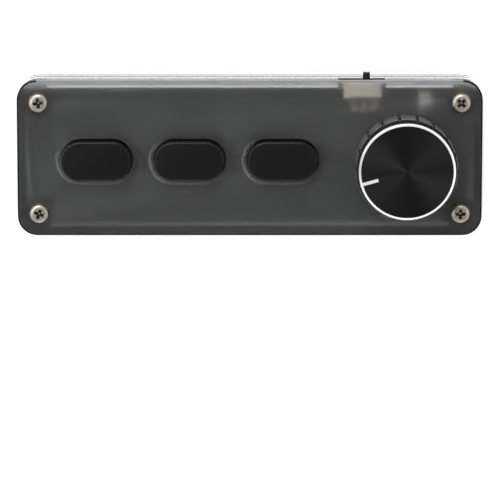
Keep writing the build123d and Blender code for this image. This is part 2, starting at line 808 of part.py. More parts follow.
with BuildPart() as encoder_pins:
    with BuildSketch(level(z_upper + clip_thickness)):
        for x, y in encoder_pins_at:
            toward = 1 if y > knob_y else -1
            with Locations((x, knob_y + toward * (encoder_side + encoder_pin_reach) / 2)):
                Rectangle(encoder_pin_width, encoder_pin_reach)
    extrude(amount=encoder_pin_thickness)
    with BuildSketch(level(z_upper + clip_thickness)):
        with Locations(*encoder_pins_at):
            Rectangle(encoder_pin_width - pin_gap, encoder_pin_thickness)
    extrude(amount=-(board_thickness + clip_thickness + pin_tail))
encoder_pins.part.label = "encoder_pins"
export_step(encoder_pins.part, "parts/encoder_pins.step")

with BuildPart() as encoder_bush:
    with BuildSketch(level(z_top - bush_plate)):
        with Locations((knob_x, knob_y)):
            Rectangle(encoder_side, encoder_side)
    extrude(amount=bush_plate)
    with BuildSketch(level(z_top)):
        with Locations((knob_x, knob_y)):
            Circle(bush_radius)
    extrude(amount=bush_length)
    chamfer(encoder_bush.faces().sort_by(Axis.Z)[-1].edges(), 0.25)
    with BuildSketch(level(z_top - bush_plate)):
        with Locations((knob_x, knob_y)):
            Circle(shaft_radius + shaft_gap)
    extrude(amount=bush_plate + bush_length, mode=Mode.SUBTRACT)
encoder_bush.part.label = "encoder_bush"
export_step(encoder_bush.part, "parts/encoder_bush.step")

with BuildPart() as encoder_washer:
    with BuildSketch(level(z_face)):
        with Locations((knob_x, knob_y)):
            Circle(washer_radius)
            Circle(bush_radius + bush_gap, mode=Mode.SUBTRACT)
    extrude(amount=washer_thickness)
encoder_washer.part.label = "encoder_washer"
export_step(encoder_washer.part, "parts/encoder_washer.step")

with BuildPart() as encoder_nut:
    with BuildSketch(level(z_face + washer_thickness)):
        with Locations((knob_x, knob_y)):
            RegularPolygon(nut_flat / 2, 6, major_radius=False)
            Circle(bush_radius + thread_gap, mode=Mode.SUBTRACT)
    extrude(amount=nut_height)
encoder_nut.part.label = "encoder_nut"
export_step(encoder_nut.part, "parts/encoder_nut.step")

# A thin dished disc of spring metal that clicks under the plunger.
dome_sphere = (dome_radius**2 + dome_height**2) / (2 * dome_height)
with BuildPart() as push_dome:
    with BuildSketch(upright(knob_x, knob_y)):
        with Locations((0, z_dome + dome_height - dome_sphere)):
            Circle(dome_sphere)
            Circle(dome_sphere - dome_thickness, mode=Mode.SUBTRACT)
        with Locations((dome_radius / 2, z_dome + dome_height / 2)):
            Rectangle(dome_radius, dome_height, mode=Mode.INTERSECT)
    revolve(axis=axis_at(knob_x, knob_y))
push_dome.part.label = "push_dome"
export_step(push_dome.part, "parts/push_dome.step")

with BuildPart() as push_plunger:
    with BuildSketch(level(z_plunger)):
        with Locations((knob_x, knob_y)):
            Circle(plunger_radius)
    extrude(amount=plunger_height)
push_plunger.part.label = "push_plunger"
export_step(push_plunger.part, "parts/push_plunger.step")

with BuildPart() as encoder_rotor:
    with BuildSketch(level(z_rotor)):
        with Locations((knob_x, knob_y)):
            Circle(rotor_radius)
            Circle(stub_radius + thread_gap, mode=Mode.SUBTRACT)
    extrude(amount=rotor_height)
encoder_rotor.part.label = "encoder_rotor"
export_step(encoder_rotor.part, "parts/encoder_rotor.step")

with BuildPart() as encoder_shaft:
    with BuildSketch(level(z_stub)):
        with Locations((knob_x, knob_y)):
            Circle(stub_radius)
    extrude(amount=z_rotor + rotor_height - z_stub)
    with BuildSketch(level(z_rotor + rotor_height)):
        with Locations((knob_x, knob_y)):
            Circle(shaft_radius)
    extrude(amount=z_shaft - z_rotor - rotor_height)
    chamfer(encoder_shaft.faces().sort_by(Axis.Z)[-1].edges(), 0.3)
    with BuildSketch(level(z_core - core_clearance / 2)):
        with Locations((knob_x, knob_y + shaft_flat + shaft_radius)):
            Rectangle(2 * shaft_radius, 2 * shaft_radius)
    extrude(amount=z_shaft - z_core + core_clearance / 2, mode=Mode.SUBTRACT)
encoder_shaft.part.label = "encoder_shaft"
export_step(encoder_shaft.part, "parts/encoder_shaft.step")

# ---- Knob ------------------------------------------------------------------------
# One turned shell: fluted skirt, groove, smooth band, and a chamfer round the flat face.
z_skirt = z_knob + skirt_height
z_band = z_skirt + neck_height
face_radius = band_radius - ring_chamfer
pointer_middle = face_radius - pointer_length / 2

with BuildPart() as knob_shell:
    with BuildSketch(upright(knob_x, knob_y)):
        with BuildLine():
            Polyline(
                (cavity_radius, z_knob),
                (skirt_radius - skirt_edge, z_knob),
                (skirt_radius, z_knob + skirt_edge),
                (skirt_radius, z_skirt - skirt_edge),
                (skirt_radius - skirt_edge, z_skirt),
                (neck_radius, z_skirt),
                (neck_radius, z_band),
                (band_radius, z_band),
                (band_radius, z_knob_top - ring_chamfer),
                (face_radius, z_knob_top),
                (0, z_knob_top),
                (0, z_cavity),
                (cavity_radius, z_cavity),
                close=True,
            )
        make_face()
    revolve(axis=axis_at(knob_x, knob_y))
    with BuildSketch(level(z_knob)):
        with Locations((knob_x, knob_y)):
            with PolarLocations(skirt_radius, flute_count, start_angle=flute_start):
                Rectangle(2 * flute_depth, flute_width)
    extrude(amount=skirt_height, mode=Mode.SUBTRACT)
    with BuildSketch(level(z_knob_top)):
        with Locations((knob_x, knob_y)):
            with PolarLocations(pointer_middle, 1, start_angle=pointer_angle):
                Rectangle(pointer_length, pointer_width)
    extrude(amount=-pointer_depth, mode=Mode.SUBTRACT)
knob_shell.part.label = "knob_shell"
export_step(knob_shell.part, "parts/knob_shell.step")

with BuildPart() as pointer_line:
    with BuildSketch(level(z_knob_top - pointer_depth)):
        with Locations((knob_x, knob_y)):
            with PolarLocations(pointer_middle, 1, start_angle=pointer_angle):
                Rectangle(pointer_length, pointer_width)
    extrude(amount=pointer_depth)
pointer_line.part.label = "pointer_line"
export_step(pointer_line.part, "parts/pointer_line.step")

# The plastic core fills the shell's cavity with a rim, ribs and a hub for the D shaft.
with BuildPart() as knob_core:
    core_radius = cavity_radius - core_gap
    with BuildSketch(level(z_core)):
        with Locations((knob_x, knob_y)):
            Circle(core_radius)
            Circle(core_radius - core_rim, mode=Mode.SUBTRACT)
            Circle(core_hub)
            with PolarLocations((core_radius + core_hub - core_rim) / 2, core_ribs):
                Rectangle(core_radius - core_hub, core_rib)
    extrude(amount=z_cavity - z_core)
    with BuildSketch(level(z_cavity - core_web)):
        with Locations((knob_x, knob_y)):
            Circle(core_radius)
    extrude(amount=core_web)
    with BuildSketch(level(z_core)):
        with Locations((knob_x, knob_y)):
            Circle(shaft_radius + shaft_gap)
            with Locations((0, shaft_flat + shaft_gap + shaft_radius)):
                Rectangle(2.2 * shaft_radius, 2 * shaft_radius, mode=Mode.SUBTRACT)
    extrude(amount=z_shaft + core_clearance / 2 - z_core, mode=Mode.SUBTRACT)
knob_core.part.label = "knob_core"
export_step(knob_core.part, "parts/knob_core.step")
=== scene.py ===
import math

import bmesh
import bpy
from mathutils import Matrix, Vector


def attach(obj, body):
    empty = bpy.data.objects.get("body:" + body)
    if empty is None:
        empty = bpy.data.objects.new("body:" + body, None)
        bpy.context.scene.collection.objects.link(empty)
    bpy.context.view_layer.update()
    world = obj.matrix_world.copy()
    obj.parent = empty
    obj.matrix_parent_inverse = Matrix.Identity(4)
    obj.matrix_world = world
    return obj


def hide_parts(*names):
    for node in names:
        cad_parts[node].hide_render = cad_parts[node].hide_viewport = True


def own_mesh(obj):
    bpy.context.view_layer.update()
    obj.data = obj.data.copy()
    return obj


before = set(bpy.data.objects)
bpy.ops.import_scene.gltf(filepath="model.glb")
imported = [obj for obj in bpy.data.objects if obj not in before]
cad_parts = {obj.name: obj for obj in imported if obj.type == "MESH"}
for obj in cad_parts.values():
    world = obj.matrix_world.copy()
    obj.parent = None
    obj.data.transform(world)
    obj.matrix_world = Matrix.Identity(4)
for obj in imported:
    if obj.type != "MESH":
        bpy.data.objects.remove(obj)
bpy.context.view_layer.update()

MM = 0.001


# ---- Camera and studio ------------------------------------------------------------
# The keypad lies on a white light table that glows round the case. Under the case the glow
# stops and the table is painted darker as a painted shadow, all but its back edge, where a
# strip light lies with a dimmer border behind it. A long lens looks down from above and a
# little behind.
picture_pixels = 500
lens_pixels = 3839.0
sensor = 36.0
camera_distance = 1001.45 * MM
camera_tilt = math.radians(9.826)
aim = Vector((0.07 * MM, -27.2 * MM, 0.0))

camera_data = bpy.data.cameras.new("camera")
camera_data.sensor_width = sensor
camera_data.lens = sensor * lens_pixels / picture_pixels
camera_data.clip_start = 10 * MM
camera_data.clip_end = 20.0
camera = bpy.data.objects.new("camera", camera_data)
away = Vector((0.0, math.sin(camera_tilt), math.cos(camera_tilt)))
camera.location = aim + camera_distance * away
camera.rotation_euler = (-camera_tilt, 0.0, 0.0)
bpy.context.scene.collection.objects.link(camera)
bpy.context.scene.camera = camera

bpy.context.scene.view_settings.view_transform = "Standard"
bpy.context.scene.view_settings.look = "None"


def plain_material(name, colour, roughness, metallic=0.0):
    """A material with its colour and roughness on the shader, and its nodes and links."""
    material = bpy.data.materials.new(name)
    material.use_nodes = True
    nodes = material.node_tree.nodes
    shader = nodes["Principled BSDF"]
    shader.inputs["Base Color"].default_value = (*colour, 1.0)
    shader.inputs["Roughness"].default_value = roughness
    shader.inputs["Metallic"].default_value = metallic
    return material, nodes, material.node_tree.links, shader


def distance_from_box(nodes, links, start, middle, half):
    """The distance of a point from a flat box, given by its middle and its half size, all
    in metres."""
    reach = start
    for operation, value in (
        ("SUBTRACT", middle),
        ("ABSOLUTE", (0.0, 0.0, 0.0)),
        ("SUBTRACT", half),
        ("MAXIMUM", (0.0, 0.0, 0.0)),
        ("LENGTH", (0.0, 0.0, 0.0)),
    ):
        step = nodes.new("ShaderNodeVectorMath")
        step.operation = operation
        step.inputs[1].default_value = value
        links.new(reach, step.inputs[0])
        reach = step.outputs["Value" if operation == "LENGTH" else "Vector"]
    return reach


floor_size = 6.0
paper_white = (0.9, 0.9, 0.9)
paper_roughness = 0.6
lamp_white = (1.0, 1.0, 1.0, 1.0)
painted_shadow_tone = 0.3
table_glow = 0.65
# The mask is all that lies nearer than its radius to a flat box, its core.
mask_middle = Vector((0.0, -2.2, 0.0)) * MM
mask_core = Vector((54.1, 13.4, 0.0)) * MM
mask_radius = 5.8 * MM
mask_edge = 0.8 * MM

table, nodes, links, shader = plain_material("table_white", paper_white, paper_roughness)
shader.inputs["Emission Color"].default_value = lamp_white
place = nodes.new("ShaderNodeTexCoord").outputs["Object"]
off_mask = distance_from_box(nodes, links, place, mask_middle, mask_core)
# Under the mask the table's colour is darkened to the painted shadow tone, and its glow
# stops.
for result, inside, outside in (
    ("Base Color", painted_shadow_tone, paper_white[0]),
    ("Emission Strength", 0.0, table_glow),
):
    past = nodes.new("ShaderNodeMapRange")
    past.inputs["From Min"].default_value = mask_radius
    past.inputs["From Max"].default_value = mask_radius + mask_edge
    past.inputs["To Min"].default_value = inside
    past.inputs["To Max"].default_value = outside
    links.new(off_mask, past.inputs["Value"])
    links.new(past.outputs["Result"], shader.inputs[result])
bpy.ops.object.select_all(action="DESELECT")
bpy.ops.mesh.primitive_plane_add(size=floor_size, location=(0, 0, 0))
floor = bpy.context.object
floor.name = "floor"
floor.data.materials.append(table)

strip_length = 118.0
strip_height = 0.05
for name, middle_y, depth, strength in (
    ("strip_light", 17.6, 3.6, 1.4),
    ("strip_border", 20.65, 2.5, 0.42),
):
    strip, nodes, links, shader = plain_material(name, paper_white, paper_roughness)
    shader.inputs["Emission Color"].default_value = lamp_white
    shader.inputs["Emission Strength"].default_value = strength
    bpy.ops.object.select_all(action="DESELECT")
    bpy.ops.mesh.primitive_plane_add(
        size=MM, location=(0, middle_y * MM, strip_height * MM)
    )
    strip_light = bpy.context.object
    strip_light.name = name
    strip_light.scale = (strip_length, depth, 1.0)
    strip_light.data.materials.append(strip)

world = bpy.data.worlds.new("studio")
bpy.context.scene.world = world
world.use_nodes = True
sky_nodes = world.node_tree.nodes
sky_links = world.node_tree.links
direction = sky_nodes.new("ShaderNodeTexCoord")
split = sky_nodes.new("ShaderNodeSeparateXYZ")
ramp = sky_nodes.new("ShaderNodeValToRGB")
sky_links.new(direction.outputs["Generated"], split.inputs[0])
sky_links.new(split.outputs["Z"], ramp.inputs[0])
sky_links.new(ramp.outputs[0], sky_nodes["Background"].inputs["Color"])
low_sky = (0.8, 0.8, 0.8, 1.0)
high_sky = (0.9, 0.9, 0.9, 1.0)
top_sky = (0.25, 0.25, 0.25, 1.0)
bands = ramp.color_ramp.elements
bands[0].position = 0.0
bands[0].color = low_sky
bands[1].position = 0.97
bands[1].color = top_sky
bands.new(0.55).color = low_sky
bands.new(0.8).color = high_sky
sky_nodes["Background"].inputs["Strength"].default_value = 0.5


def softbox(name, place, size, power):
    """A square soft light at a place in metres, turned to face the keypad."""
    light = bpy.data.lights.new(name, "AREA")
    light.shape = "SQUARE"
    light.size = size
    light.energy = power
    holder = bpy.data.objects.new(name, light)
    holder.location = place
    holder.rotation_euler = (-Vector(place)).to_track_quat("-Z", "Y").to_euler()
    bpy.context.scene.collection.objects.link(holder)


softbox("light_back", (-0.35, 1.1, 1.0), 1.0, 11.0)
softbox("light_left", (-1.0, 0.1, 1.15), 0.8, 5.0)
softbox("light_right", (1.0, 0.0, 1.15), 0.8, 2.0)
softbox("light_front", (0.1, -1.2, 0.9), 0.8, 1.5)


# ---- Rubber feet --------------------------------------------------------------------
# Four round stick-on pads of black rubber, punched from a sheet with a moulded edge.
# They are pressed onto the base plate near its corners.
case_y = -0.8
foot_top = 2.0
foot_radius = 5.0
foot_places = [(x, case_y + y) for x in (-45.0, 45.0) for y in (-13.0, 13.0)]
# Edges and faces count as lying on a plane when they are nearer than this.
near = 0.01


def noise_between(nodes, links, size, low, high, stretch=(1.0, 1.0, 1.0)):
    """Noise with grains of that size in millimetres, spread between low and high."""
    place = nodes.new("ShaderNodeTexCoord")
    mapping = nodes.new("ShaderNodeMapping")
    mapping.inputs["Scale"].default_value = stretch
    noise = nodes.new("ShaderNodeTexNoise")
    noise.inputs["Scale"].default_value = 1.0 / (size * MM)
    noise.inputs["Detail"].default_value = 3.0
    spread = nodes.new("ShaderNodeMapRange")
    spread.inputs["From Min"].default_value = 0.3
    spread.inputs["From Max"].default_value = 0.7
    spread.inputs["To Min"].default_value = low
    spread.inputs["To Max"].default_value = high
    links.new(place.outputs["Object"], mapping.inputs["Vector"])
    links.new(mapping.outputs["Vector"], noise.inputs["Vector"])
    links.new(noise.outputs["Fac"], spread.inputs["Value"])
    return spread.outputs["Result"]


def bump(nodes, links, shader, height, depth):
    """Raises a height from 0 to 1 by that many millimetres on the shader's normal."""
    relief = nodes.new("ShaderNodeBump")
    relief.inputs["Strength"].default_value = 1.0
    relief.inputs["Distance"].default_value = depth * MM
    links.new(height, relief.inputs["Height"])
    links.new(relief.outputs["Normal"], shader.inputs["Normal"])


def textured(name, colour, second, roughness, size, depth, metallic=0.0, stretch=(1, 1, 1)):
    """A surface whose colour drifts to a second one, whose gloss varies by a tenth either
    way, and whose fine grain has that size and depth in millimetres. It gives what
    plain_material gives."""
    made = plain_material(name, colour, roughness, metallic)
    material, nodes, links, shader = made
    mix = nodes.new("ShaderNodeMix")
    mix.data_type = "RGBA"
    mix.inputs["A"].default_value = (*colour, 1.0)
    mix.inputs["B"].default_value = (*second, 1.0)
    links.new(noise_between(nodes, links, 14 * size, 0.0, 1.0), mix.inputs["Factor"])
    links.new(mix.outputs["Result"], shader.inputs["Base Color"])
    gloss = noise_between(nodes, links, 6 * size, 0.9 * roughness, 1.1 * roughness, stretch)
    links.new(gloss, shader.inputs["Roughness"])
    grain = noise_between(nodes, links, size, 0.0, 1.0, stretch)
    bump(nodes, links, shader, grain, depth)
    return made


def rest_hands():
    """Leaves edit mode and deselects everything."""
    if bpy.context.mode != "OBJECT":
        bpy.ops.object.mode_set(mode="OBJECT")
    bpy.ops.object.select_all(action="DESELECT")


def named(name):
    """Names the new primitive and puts its place and size into its mesh."""
    piece = bpy.context.object
    piece.name = name
    piece.data.name = name
    bpy.ops.object.transform_apply(location=True, rotation=True, scale=True)
    return piece


def post(name, x, y, low, high, radius, sides=64):
    """An upright round bar, in millimetres."""
    rest_hands()
    bpy.ops.mesh.primitive_cylinder_add(
        vertices=sides,
        radius=radius * MM,
        depth=(high - low) * MM,
        location=(x * MM, y * MM, (low + high) / 2 * MM),
    )
    return named(name)


def choose(piece, kind, test):
    """Opens a piece in edit mode with only the faces, edges or points that pass the test.
    The test gets each one's middle in millimetres and the way that it points."""
    rest_hands()
    piece.select_set(True)
    bpy.context.view_layer.objects.active = piece
    bpy.ops.object.mode_set(mode="EDIT")
    bpy.ops.mesh.select_mode(type=kind)
    bpy.ops.mesh.select_all(action="DESELECT")
    mesh = bmesh.from_edit_mesh(piece.data)
    if kind == "FACE":
        for face in mesh.faces:
            face.select_set(test(face.calc_center_median() / MM, face.normal))
    elif kind == "EDGE":
        for edge in mesh.edges:
            start, end = (vert.co / MM for vert in edge.verts)
            edge.select_set(test((start + end) / 2, (end - start).normalized()))
    else:
        for vert in mesh.verts:
            vert.select_set(test(vert.co / MM, vert.normal))
    mesh.select_flush_mode()
    bmesh.update_edit_mesh(piece.data)


def round_edges(piece, radius, segments, test):
    """Rounds the edges that pass the test to a radius in millimetres."""
    choose(piece, "EDGE", test)
    bpy.ops.mesh.bevel(offset=radius * MM, segments=segments, profile=0.5, affect="EDGES")
    rest_hands()


def set_out(piece, places):
    """Copies a piece to each place, given as a matrix in metres, and joins the copies."""
    copies = []
    for place in places:
        copy = piece.copy()
        copy.data = piece.data.copy()
        copy.data.transform(place)
        bpy.context.scene.collection.objects.link(copy)
        copies.append(copy)
    name = piece.name
    bpy.data.objects.remove(piece)
    join(copies[0], *copies[1:])
    copies[0].name = name
    copies[0].data.name = name
    return copies[0]


def join(piece, *others):
    """Joins other pieces into a piece."""
    rest_hands()
    for each in (piece, *others):
        each.select_set(True)
    bpy.context.view_layer.objects.active = piece
    bpy.ops.object.join()
    rest_hands()


def at(x, y, z=0.0, turn=0.0):
    """The matrix of a place in millimetres, turned about its upright axis in degrees."""
    move = Matrix.Translation(Vector((x, y, z)) * MM)
    return move @ Matrix.Rotation(math.radians(turn), 4, "Z")


def seat(piece, body, *stands_for):
    """Smooths a finished piece and fixes it to its body, in place of the CAD nodes."""
    rest_hands()
    piece.select_set(True)
    bpy.context.view_layer.objects.active = piece
    bpy.ops.object.shade_smooth_by_angle(angle=math.radians(30))
    rest_hands()
    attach(piece, body)
    if stands_for:
        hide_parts(*stands_for)


rubber = textured(
    "foot_rubber", (0.012, 0.012, 0.013), (0.02, 0.02, 0.02), 0.75, 0.12, 0.02
)[0]
foot = post("feet", 0, 0, 0.0, foot_top, foot_radius, 96)
round_edges(foot, 0.45, 4, lambda at, way: at.z < near)
round_edges(foot, 0.1, 2, lambda at, way: at.z > foot_top - near)
foot.data.materials.append(rubber)
feet = set_out(foot, [at(x, y) for x, y in foot_places])
seat(feet, "case", "foot_pads")


# ---- Base plate ----------------------------------------------------------------------
# The bottom sheet, laser cut from 2 mm smoke-grey acrylic with a satin face. Screws pass
# through it near its corners, and its cut edges are painted near-black as painted shade.
base_top = 4.0
case_x = 59.5
case_half = 20.0
corner = 5.0
# Each sheet ends this far below the next, so that no two faces lie on each other.
sheet_gap = 0.015
# Cutters reach this far past the faces that they open.
overcut = 1.0
screw_x = 54.0
screw_y = 14.3
screw_hole = 1.4
screw_places = [
    (screw_x * side, case_y + screw_y * end)
    for side, end in ((-1, -1), (1, -1), (1, 1), (-1, 1))
]
smoke_colour = (0.91, 0.915, 0.925)
smoke_roughness = 0.43
smoke_clear = 0.99
acrylic_ior = 1.49


def block(name, low, high):
    """A box between two corners, in millimetres."""
    rest_hands()
    middle = [(a + b) / 2 * MM for a, b in zip(low, high)]
    sides = [(b - a) * MM for a, b in zip(low, high)]
    bpy.ops.mesh.primitive_cube_add(size=1, location=middle, scale=sides)
    return named(name)


def slab(name, length, depth, low, high, radius):
    """A flat block over the case's middle with its upright edges rounded."""
    piece = block(
        name,
        (-length / 2, case_y - depth / 2, low),
        (length / 2, case_y + depth / 2, high),
    )
    round_edges(piece, radius, 16, lambda at, way: abs(way.z) > 0.9)
    return piece


def cut(piece, *cutters):
    """Cuts the cutters out of a piece and throws them away."""
    rest_hands()
    bpy.context.view_layer.objects.active = piece
    for cutter in cutters:
        opening = piece.modifiers.new("opening", "BOOLEAN")
        opening.operation = "DIFFERENCE"
        opening.solver = "EXACT"
        opening.object = cutter
        bpy.ops.object.modifier_apply(modifier="opening")
        bpy.data.objects.remove(cutter)


def drill(piece, low, high, radius, sides=64, margin=overcut):
    """Cuts a round hole at each screw's place through a sheet between two heights."""
    low -= margin
    high += margin
    cut(piece, *[post("hole", x, y, low, high, radius, sides) for x, y in screw_places])


def soften(piece, width, segments=2, angle=35.0):
    """Rounds every sharp edge of a piece over that many millimetres."""
    rest_hands()
    bpy.context.view_layer.objects.active = piece
    edges = piece.modifiers.new("edges", "BEVEL")
    edges.width = width * MM
    edges.segments = segments
    edges.limit_method = "ANGLE"
    edges.angle_limit = math.radians(angle)
    bpy.ops.object.modifier_apply(modifier="edges")
    return piece


def paint(piece, slot, test):
    """Gives the faces that pass the test the material in that slot."""
    choose(piece, "FACE", test)
    piece.active_material_index = slot
    bpy.ops.object.material_slot_assign()
    rest_hands()


def smoke(name):
    """Smoke-grey acrylic with a satin surface, as made by plain_material."""
    made = plain_material(name, smoke_colour, smoke_roughness)
    material, nodes, links, shader = made
    shader.inputs["IOR"].default_value = acrylic_ior
    shader.inputs["Transmission Weight"].default_value = smoke_clear
    rougher = 1.06 * smoke_roughness
    smoother = 0.94 * smoke_roughness
    gloss = noise_between(nodes, links, 9.0, smoother, rougher)
    links.new(gloss, shader.inputs["Roughness"])
    grain = noise_between(nodes, links, 0.08, 0.0, 1.0)
    bump(nodes, links, shader, grain, 0.0004)
    return made


satin = smoke("smoked_acrylic")[0]
upright_lines = (1.0, 1.0, 0.05)
# Painted shade: cut edges go near-black with almost no reflection, for the dark outline
# round each sheet and the dark gap round the keys.
shaded_cut_edge, nodes, links, shader = textured(
    "cut_edge_painted_shade", (0.006, 0.006, 0.006), (0.01, 0.01, 0.01), 0.35, 0.25, 0.002,
    stretch=upright_lines,
)
shader.inputs["Specular IOR Level"].default_value = 0.03
base = slab("base_sheet", 2 * case_x, 2 * case_half, foot_top, base_top - sheet_gap, corner)
drill(base, foot_top, base_top, screw_hole, 48)
soften(base, 0.08)
base.data.materials.append(satin)
base.data.materials.append(shaded_cut_edge)
# Painted shade on the base sheet's cut edges.
paint(base, 1, lambda at, way: abs(way.z) < 0.95)
seat(base, "case", "base_plate")


# ---- Base screws ---------------------------------------------------------------------
# M2.5 pan-head screws of nickel-plated steel, with a cross recess. They go up through the
# base plate, the spacers and the board into the standoffs.
def turned(name, sides, profile, x=0.0, y=0.0):
    """A solid turned about an upright axis: a disc drawn through the profile's radii and
    heights, in millimetres, and closed at both ends."""
    rest_hands()
    (radius, height), *rest = profile
    bpy.ops.mesh.primitive_circle_add(
        vertices=sides,
        radius=radius * MM,
        fill_type="NGON",
        location=(x * MM, y * MM, height * MM),
    )
    piece = named(name)
    choose(piece, "FACE", lambda at, way: True)
    for next_radius, next_height in rest:
        rise = (0.0, 0.0, (next_height - height) * MM)
        bpy.ops.mesh.extrude_region_move(TRANSFORM_OT_translate={"value": rise})
        share = next_radius / radius
        bpy.ops.transform.resize(
            value=(share, share, 1.0),
            center_override=(x * MM, y * MM, next_height * MM),
        )
        radius, height = next_radius, next_height
    bpy.ops.mesh.select_all(action="SELECT")
    bpy.ops.mesh.normals_make_consistent(inside=False)
    rest_hands()
    return piece


def blade(x_half, y_half):
    """One bar of the cross recess, which narrows downwards."""
    low = 0.35
    high = 1.3
    taper = 0.75
    piece = block("blade", (-x_half, -y_half, low), (x_half, y_half, high))
    choose(piece, "FACE", lambda at, way: way.z < -0.9)
    bpy.ops.transform.resize(value=(taper, taper, 1.0), center_override=(0, 0, low * MM))
    rest_hands()
    return piece


def screw(name, shank):
    """A screw with the underside of its head at height 0 and its shank pointing down."""
    thread = []
    root = 1.04
    crest = 1.21
    pitch = 0.45
    depth = shank
    while depth > pitch:
        thread += [(root, -depth)]
        thread += [(crest, -depth + share * pitch) for share in (0.4, 0.5)]
        depth -= pitch
    head = [(1.2, -0.1), (1.2, 0.0), (2.3, 0.0), (2.38, 0.1), (2.38, 0.5), (2.33, 0.72)]
    head += [(2.2, 0.92), (2.0, 1.07), (1.75, 1.16), (1.45, 1.195), (1.1, 1.2)]
    piece = turned(name, 64, [(0.85, -shank - 0.001)] + thread + head)
    cut(piece, blade(1.3, 0.42), blade(0.42, 1.3))
    cut(piece, turned("cone", 24, [(0.25, 0.15), (0.62, 1.3)]))
    return soften(piece, 0.035)


def in_recess(at, way):
    """Picks the inside of a screw's cross recess for its painted shade, but not the bright
    tip of its cone.
    """
    return 0.2 < at.z < 1.15 and at.xy.length < 1.35


plated = textured(
    "nickel_steel", (0.7, 0.65, 0.58), (0.58, 0.52, 0.45), 0.4, 0.06, 0.002, 1.0
)[0]
# Painted shade: the cross recess goes near-black with brownish patches, and the tip of its
# cone stays bright.
recess = textured(
    "recess_painted_shade", (0.02, 0.015, 0.012), (0.12, 0.09, 0.06), 0.35, 0.06, 0.004, 1.0
)[0]
flip = Matrix.Rotation(math.pi, 4, "X")
low_screw = screw("base_screw", 8.19)
low_screw.data.materials.append(plated)
low_screw.data.materials.append(recess)
# Painted shade in the cross recesses.
paint(low_screw, 1, in_recess)
low_turns = (20, 55, 80, 33)
low_screws = set_out(
    low_screw,
    [at(x, y, foot_top, turn) @ flip for (x, y), turn in zip(screw_places, low_turns)],
)
seat(low_screws, "case", "base_screws")


# ---- Lower frame ---------------------------------------------------------------------
# A ring of 4 mm see-through grey acrylic round the board's underside. The laser leaves its
# cut walls glossy with faint upright ripples, and the right wall has a notch for the socket.
def clear_acrylic(name, tone, gleam):
    """Acrylic of that grey. Its gleam is the share of a polished face's reflections."""
    laser_polish = 0.08
    material, nodes, links, shader = plain_material(name, (tone, tone, tone), laser_polish)
    shader.inputs["IOR"].default_value = acrylic_ior
    shader.inputs["Transmission Weight"].default_value = 1.0
    shader.inputs["Specular Tint"].default_value = (gleam, gleam, gleam, 1.0)
    ripple = noise_between(nodes, links, 1.2, 0.0, 1.0, (1.0, 1.0, 0.04))
    bump(nodes, links, shader, ripple, 0.00015)
    return material


clear = clear_acrylic("clear_acrylic", 0.17, 0.6)
# Painted light and painted shade: a bright tone for the flat faces along the back, a dark
# one elsewhere.
lit_flat_faces = clear_acrylic("clear_painted_light", 0.75, 0.1)
shaded_flat_faces = clear_acrylic("clear_painted_shade", 0.1, 0.1)
wall = 2.0
lit_band_reach = 0.8
board_top = 8.0


def finish_frame(piece):
    """Gives a frame its materials: its walls are see-through, and its flat faces are painted
    dark as shade, except along the back, where they are painted light as light from behind."""
    back = case_y + case_half - wall - lit_band_reach
    choose(piece, "FACE", lambda at, way: True)
    bpy.ops.mesh.bisect(plane_co=(0, back * MM, 0), plane_no=(0, 1, 0))
    rest_hands()
    for material in (clear, lit_flat_faces, shaded_flat_faces):
        piece.data.materials.append(material)
    # Painted light along the back, painted shade everywhere else.
    paint(piece, 1, lambda at, way: abs(way.z) > 0.9 and at.y > back)
    paint(piece, 2, lambda at, way: abs(way.z) > 0.9 and at.y < back)


def frame_space(low, high):
    """The space inside the frames' walls between two heights, as a cutter."""
    length = 2 * (case_x - wall)
    depth = 2 * (case_half - wall)
    return slab("space", length, depth, low - overcut, high + overcut, corner - wall)


lower = slab(
    "clear_frame_lower", 2 * case_x, 2 * case_half, base_top, board_top - sheet_gap, corner
)
cut(lower, frame_space(base_top, board_top))
notch_half = 4.3
notch_top = 6.6
notch = block(
    "notch",
    (56.0, case_y - notch_half, base_top - overcut),
    (61.0, case_y + notch_half, notch_top),
)
cut(lower, notch)
soften(lower, 0.02)
finish_frame(lower)
seat(lower, "case", "lower_frame")


# ---- Spacers and standoffs -----------------------------------------------------------
# White nylon tubes hold the board off the base plate, and hexagonal brass standoffs hold
# the top plate off the board. The base screws and top screws meet inside the standoffs.
def dress(material, *names):
    """Gives the material to every slot of the CAD nodes that are named."""
    for name in names:
        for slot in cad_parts[name].material_slots:
            slot.material = material


nylon = textured("nylon", (0.75, 0.74, 0.70), (0.68, 0.67, 0.62), 0.5, 0.2, 0.004)[0]
board_low = 6.4
tube = post("spacers", 0, 0, base_top, board_low, 2.5)
cut(tube, post("bore", 0, 0, base_top - overcut, board_low + overcut, screw_hole))
soften(tube, 0.12)
tube.data.materials.append(nylon)
spacers = set_out(tube, [at(x, y) for x, y in screw_places])
seat(spacers, "case", "board_spacers")

brass = textured("brass", (0.72, 0.52, 0.22), (0.6, 0.4, 0.16), 0.3, 0.1, 0.003, 1.0)[0]
plate_low = 13.0
column = post("brass_standoffs", 0, 0, board_top, plate_low, 2.59, 6)
cut(column, post("bore", 0, 0, board_top - overcut, plate_low + overcut, 1.25, 48))
soften(column, 0.15)
column.data.materials.append(brass)
columns = set_out(column, [at(x, y) for x, y in screw_places])
seat(columns, "case", "standoffs")


